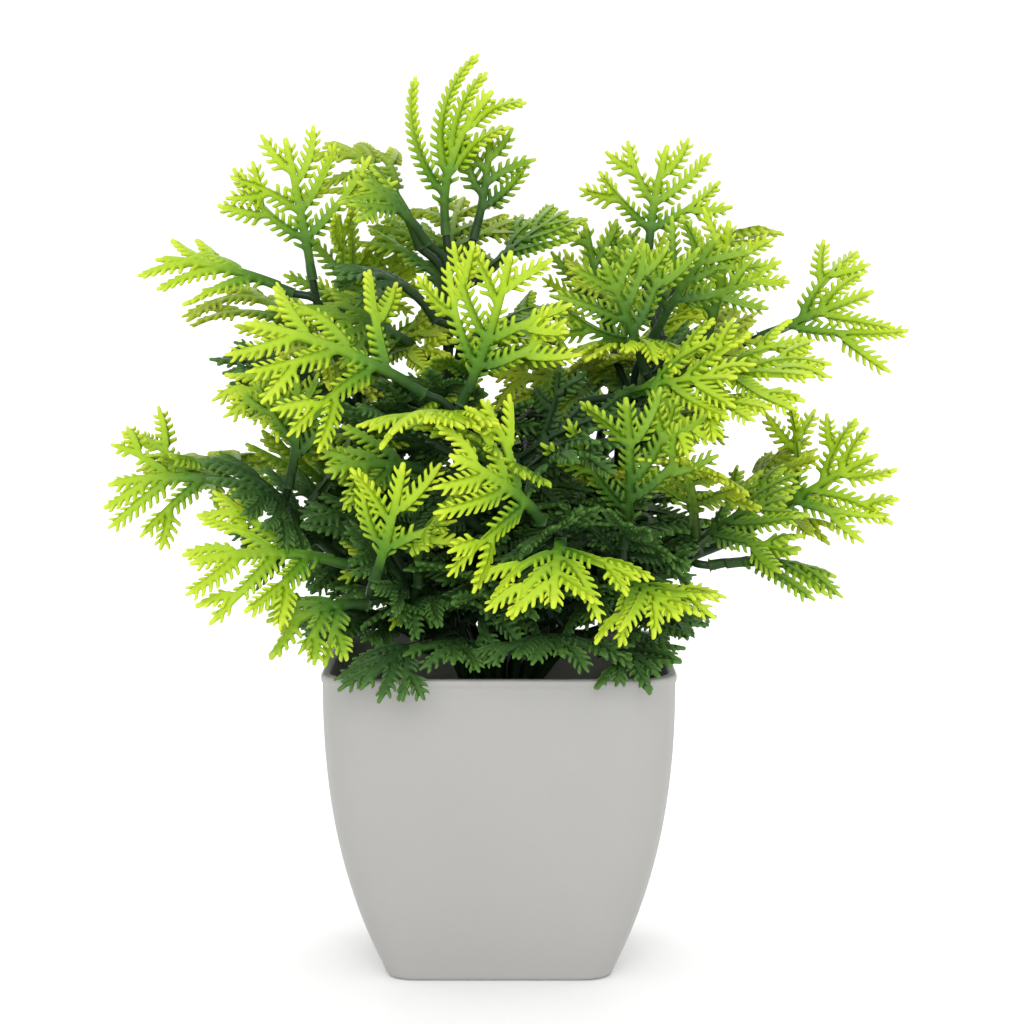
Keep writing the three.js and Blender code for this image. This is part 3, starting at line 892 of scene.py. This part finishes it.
def low_rows():
    """The further fronds that stand round the crown, darkened as painted shade under the bush."""
    rng = random.Random("low")
    rows = []
    for sides, (root_radius, root_z), (tip_radius, tip_z) in LOW_TIERS:
        for side in sides:
            turn = math.radians(side)
            outward = Vector((math.cos(turn), math.sin(turn), 0))
            root = outward * (root_radius + rng.uniform(-2, 2))
            root.z = root_z + rng.uniform(-1, 2)
            tip = outward * (tip_radius + rng.uniform(-3, 3))
            tip.z = tip_z + rng.uniform(-3, 4)
            faces = (0.3 * outward.x, 0.4 * outward.y - 0.1, 0.9)
            rows.append((None, tuple(root), tuple(tip), faces, rng.uniform(0.06, 0.12), "fan", "dark"))
    return rows


def make_crown(rows):
    """The crown with its shank and head, and a twig for each frond on it, moulded in one."""
    rings = [(CROWN_BOTTOM, 1, 0), (CROWN_BOTTOM, CROWN_SHANK_RADIUS - 1, 0)]
    rings += [(CROWN_BOTTOM + 4, CROWN_SHANK_RADIUS, 0), (CROWN_TOP - 5, CROWN_SHANK_RADIUS, 0)]
    rings += [(CROWN_TOP - 3, CROWN_HEAD_RADIUS - 1, 0), (CROWN_TOP - 2, CROWN_HEAD_RADIUS, 0)]
    rings += [(CROWN_TOP - 0.6, CROWN_HEAD_RADIUS, 0), (CROWN_TOP, CROWN_HEAD_RADIUS - 0.6, 0)]
    rings += [(CROWN_TOP, 1, 0)]
    points, faces = ring_loft(rings, 48)
    for row in rows:
        outward = Vector((row[1][0], row[1][1], 0)).normalized()
        start = outward * (CROWN_HEAD_RADIUS - 2) + Vector((0, 0, CROWN_TOP - 2))
        line = twig_points(start, row[1], row[2])
        more, more_faces = tube(line, twig_radii(len(line)), 10, len(points))
        points += more
        faces += more_faces
    piece = mesh_piece("crown_moulding", [p * MM for p in points], faces, MATERIALS["stem"])
    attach(piece, "root")
    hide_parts("crown")


make_pot()
make_filler()
low_fronds = low_rows()
make_crown(SKIRT_FRONDS + low_fronds)
for number, frond_row in enumerate(low_fronds, 1):
    frond_piece(f"low_spray_{number}", frond_row, "root")
for stem_name in STEMS:
    inner = inner_rows(stem_name)
    make_stem(stem_name, FRONDS[stem_name] + inner)
    for number, frond_row in enumerate(inner, 1):
        frond_piece(f"{stem_name}_inner_spray_{number}", frond_row, stem_name)
    for number, frond_row in enumerate(FRONDS[stem_name], 1):
        node = f"{stem_name}_frond_{number}"
        frond_piece(node + "_spray", frond_row, stem_name, node)
for number, frond_row in enumerate(SKIRT_FRONDS, 1):
    node = f"skirt_frond_{number}"
    frond_piece(node + "_spray", frond_row, "root", node)

# ---- floor, light and camera, in metres ----

FLOOR_HALF_WIDTH = 40
CAMERA_PLACE = (0.0028, -0.5776, 0.157)
CAMERA_PITCH = 5.54
CAMERA_LENS = 90.6


def soft_light(name, strength, tilt):
    """A wide, soft directional light that comes from the front (positive tilt) or from behind."""
    data = bpy.data.lights.new(name, "SUN")
    data.energy = strength
    data.angle = math.radians(45)
    lamp = bpy.data.objects.new(name, data)
    lamp.rotation_euler = (math.radians(tilt), 0, 0)
    bpy.context.scene.collection.objects.link(lamp)


def make_stage():
    half = FLOOR_HALF_WIDTH
    floor_material, _, _, principled = shader("floor", 0.7)
    principled.inputs["Base Color"].default_value = (0.97, 0.97, 0.97, 1)
    corners = [(-half, -half, 0), (half, -half, 0), (half, half, 0), (-half, half, 0)]
    floor = mesh_piece("floor", corners, [(0, 1, 2, 3)], floor_material)
    world = bpy.data.worlds.new("studio")
    world.use_nodes = True
    world.node_tree.nodes["Background"].inputs["Color"].default_value = (1, 1, 1, 1)
    world.node_tree.nodes["Background"].inputs["Strength"].default_value = 1.1
    bpy.context.scene.world = world
    soft_light("front_light", 1.45, 68)
    soft_light("back_light", 0.6, -40)


def make_camera():
    data = bpy.data.cameras.new("camera")
    data.lens = CAMERA_LENS
    camera = bpy.data.objects.new("camera", data)
    camera.location = CAMERA_PLACE
    camera.rotation_euler = (math.radians(90 - CAMERA_PITCH), 0, 0)
    bpy.context.scene.collection.objects.link(camera)
    bpy.context.scene.camera = camera


make_stage()
make_camera()
bpy.context.scene.view_settings.view_transform = "Standard"

bpy.context.view_layer.update()
